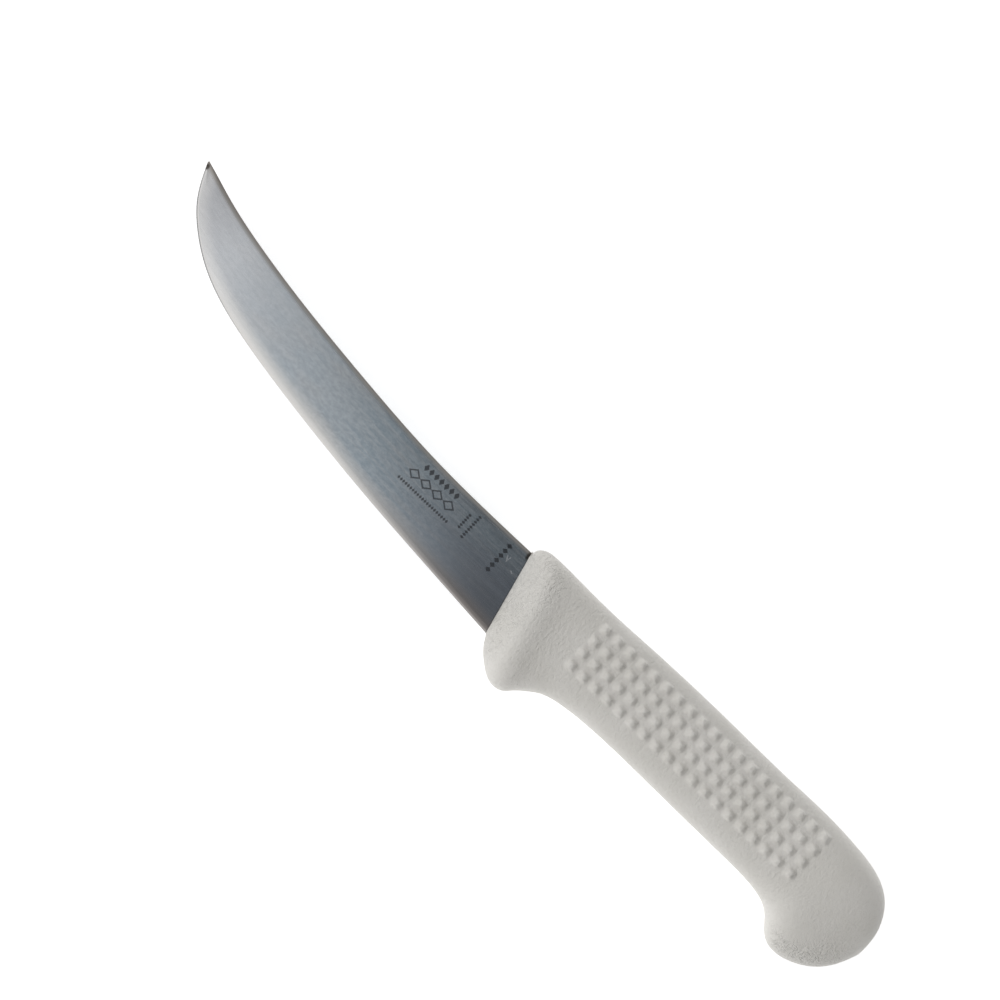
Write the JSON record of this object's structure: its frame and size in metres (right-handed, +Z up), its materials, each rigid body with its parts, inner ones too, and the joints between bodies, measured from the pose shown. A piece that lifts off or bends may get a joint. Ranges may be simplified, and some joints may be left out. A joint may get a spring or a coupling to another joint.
{
  "type": "boning knife",
  "caption": "Boning knife with an upswept ground steel blade and a light moulded handle: a guard, a hooked butt and raised square grip nubs on both sides.",
  "frame": {"origin": "under the middle of the knife's box, on the surface that the knife lies on", "axes": "The knife lies on its right side with its left side up. +X runs along the handle from the tip towards the butt, +Y towards the spine, +Z up, across the blade's thickness."},
  "size_m": [0.2904, 0.0528, 0.0233],
  "materials": {
    "blade_steel": "satin, fine polish lines along the blade",
    "core_plastic": "plain moulded",
    "grip_elastomer": "matte, fine leather-like grain"
  },
  "bodies": {
    "root": {"blade": "blade_steel", "handle_core": "core_plastic", "grip_skin": "grip_elastomer"}
  },
  "joints": []
}
